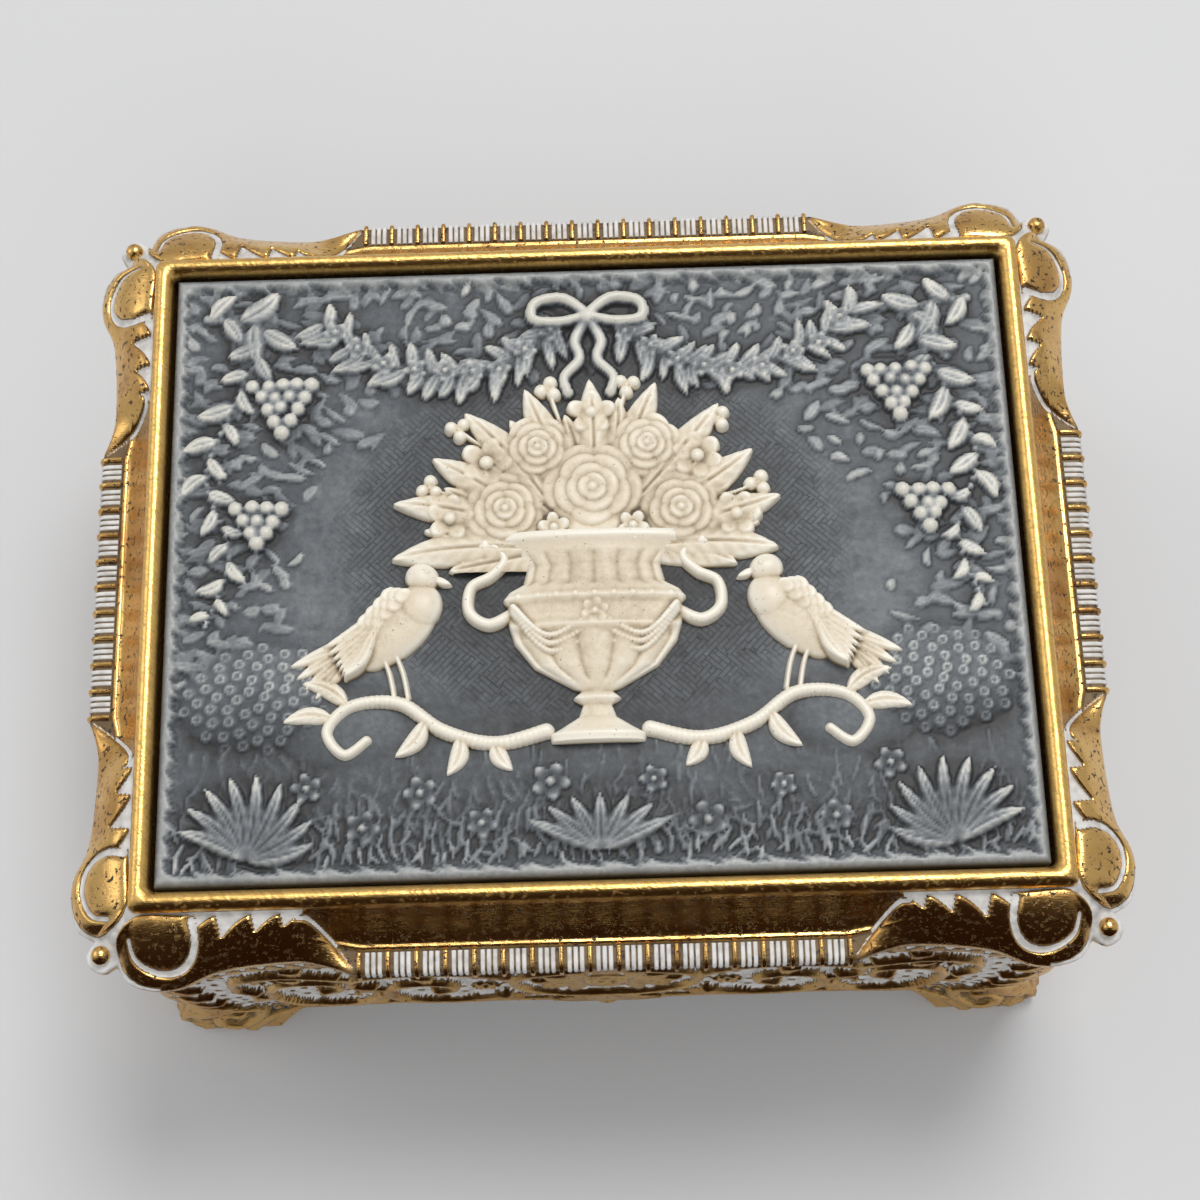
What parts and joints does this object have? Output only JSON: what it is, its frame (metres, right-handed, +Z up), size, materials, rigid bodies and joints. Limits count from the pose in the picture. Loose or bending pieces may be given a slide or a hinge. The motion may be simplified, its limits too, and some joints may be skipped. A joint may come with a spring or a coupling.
{
  "type": "music box",
  "caption": "Footed casket music box: cast gilt case, hinged lid framing a carved stone plaque, velvet well, and a key-wound cylinder movement under a clear cover.",
  "frame": {"origin": "on the table under the middle of the case", "axes": "+X to the right along the long front, +Y to the back where the hinge is, +Z up"},
  "size_m": [0.123, 0.0976, 0.0593],
  "materials": {
    "gilt": "gilt casting, polished on the high parts, with a white wash and dark tarnish in the recesses",
    "stone": "grey stone ground with a pale cream relief, satin",
    "velvet": "short wine-red pile on card",
    "clear": "clear acrylic sheet",
    "steel": "turned or drawn steel",
    "nickel": "nickel-plated diecasting",
    "brass": "cut brass",
    "plastic": "moulded ivory-coloured plastic"
  },
  "bodies": {
    "case": {"case_body": "gilt", "hinge_pin": "steel", "base_plate": "steel", "base_screw_front_left": "steel", "base_screw_front_right": "steel", "base_screw_rear_left": "steel", "base_screw_rear_right": "steel", "movement_screw_1": "steel", "movement_screw_2": "steel", "movement_screw_3": "steel", "well_lining": "velvet", "well_pad": "velvet", "bay_lining": "velvet", "clear_cover": "clear", "movement_bedplate": "nickel", "spring_housing": "nickel", "housing_screw_1": "steel", "housing_screw_2": "steel", "housing_screw_3": "steel", "housing_floor": "steel", "mainspring": "steel", "comb": "steel", "comb_screw_1": "steel", "comb_screw_2": "steel", "governor_frame": "nickel", "governor_screw": "steel", "stop_bracket": "steel", "stop_pivot_pin": "steel", "stop_screw": "steel", "stop_spring": "brass"},
    "lid": {"lid_frame": "gilt", "stone_plaque": "stone", "lid_lining": "velvet"},
    "drive": {"drive_gear": "brass", "ratchet_click": "steel"},
    "winder": {"winding_arbor": "steel", "ratchet_wheel": "steel", "winding_key": "brass"},
    "cylinder": {"pinned_cylinder": "brass", "cylinder_arbor": "steel", "cylinder_wheel": "brass", "great_wheel": "brass"},
    "governor_gear": {"governor_pinion": "steel", "governor_arbor": "steel", "worm_wheel": "plastic"},
    "governor": {"governor_worm": "steel", "governor_fan": "brass"},
    "stop_lever": {"stop_lever": "steel"},
    "stop_plunger": {"stop_plunger": "steel"}
  },
  "joints": [
    {"name": "lid_hinge", "type": "hinge", "parent": "case", "child": "lid", "pos_m": [0, 0.0471, 0.0496], "axis": [-1, 0, 0], "range_deg": [0, 100]},
    {"name": "play", "type": "hinge", "parent": "case", "child": "drive", "pos_m": [0.039, -0.0132, 0.02], "axis": [0, 0, 1], "continuous": true},
    {"name": "wind", "type": "hinge", "parent": "drive", "child": "winder", "pos_m": [0.039, -0.0132, 0.02], "axis": [0, 0, 1], "continuous": true},
    {"name": "cylinder_turn", "type": "hinge", "parent": "case", "child": "cylinder", "pos_m": [0.039, 0.0085, 0.0269], "axis": [0, 1, 0], "continuous": true},
    {"name": "governor_gear_turn", "type": "hinge", "parent": "case", "child": "governor_gear", "pos_m": [0.02942, 0.02155, 0.02947], "axis": [0, 1, 0], "continuous": true},
    {"name": "governor_turn", "type": "hinge", "parent": "case", "child": "governor", "pos_m": [0.0245, 0.0229, 0.03], "axis": [0, 0, 1], "continuous": true},
    {"name": "stop_lever_turn", "type": "hinge", "parent": "case", "child": "stop_lever", "pos_m": [0.0139, 0.0229, 0.03777], "axis": [0, -1, 0], "range_deg": [0, 6.3]},
    {"name": "stop_plunger_slide", "type": "slide", "parent": "case", "child": "stop_plunger", "axis": [0, 0, 1], "range_m": [0, 0.003]}
  ],
  "couplings": [
    {"joint": "cylinder_turn", "follows": "play", "ratio": 1.5},
    {"joint": "governor_gear_turn", "follows": "play", "ratio": -9},
    {"joint": "governor_turn", "follows": "play", "ratio": 180},
    {"joint": "stop_lever_turn", "follows": "lid_hinge", "ratio": 0.0621},
    {"joint": "stop_plunger_slide", "follows": "lid_hinge", "m_per_rad": 0.001718}
  ]
}
